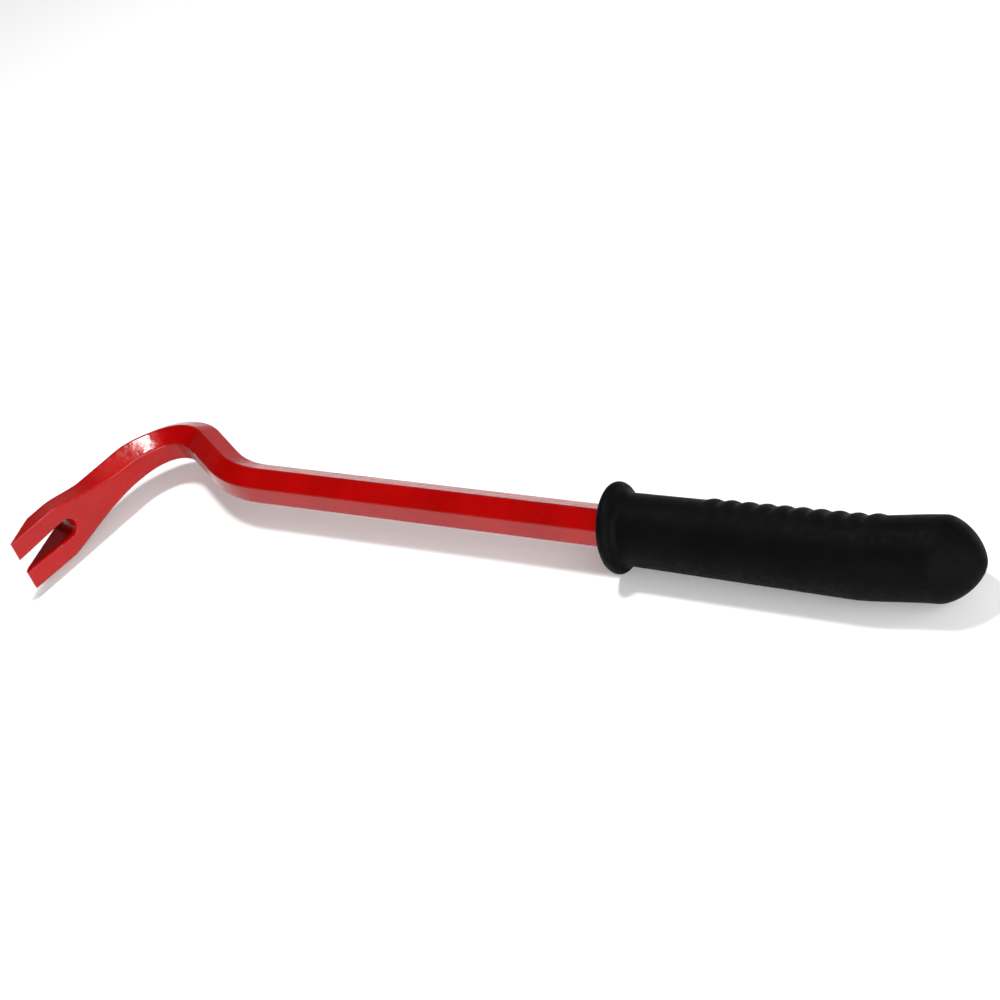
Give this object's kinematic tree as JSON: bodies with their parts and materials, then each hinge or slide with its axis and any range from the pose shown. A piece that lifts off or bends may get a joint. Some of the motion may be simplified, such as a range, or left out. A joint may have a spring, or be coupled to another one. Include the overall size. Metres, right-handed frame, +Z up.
{
  "type": "pry bar",
  "caption": "Goose-neck pry bar: hexagonal steel bar bent to a flat forked nail claw, with a ribbed, domed rubber hand grip moulded over its other end.",
  "frame": {"origin": "middle of the tool's bounding box, on the ground that it lies on", "axes": "+X along the straight shank from the claw to the grip, +Y to the side that the neck's crown rises to, +Z up, square to the plane of the bends"},
  "size_m": [0.503, 0.1134, 0.0426],
  "materials": {
    "red_enamel_steel": "gloss red enamel over forged steel",
    "black_rubber": "matte moulded black rubber"
  },
  "bodies": {
    "root": {"forged_bar": "red_enamel_steel", "rubber_grip": "black_rubber"}
  },
  "joints": []
}
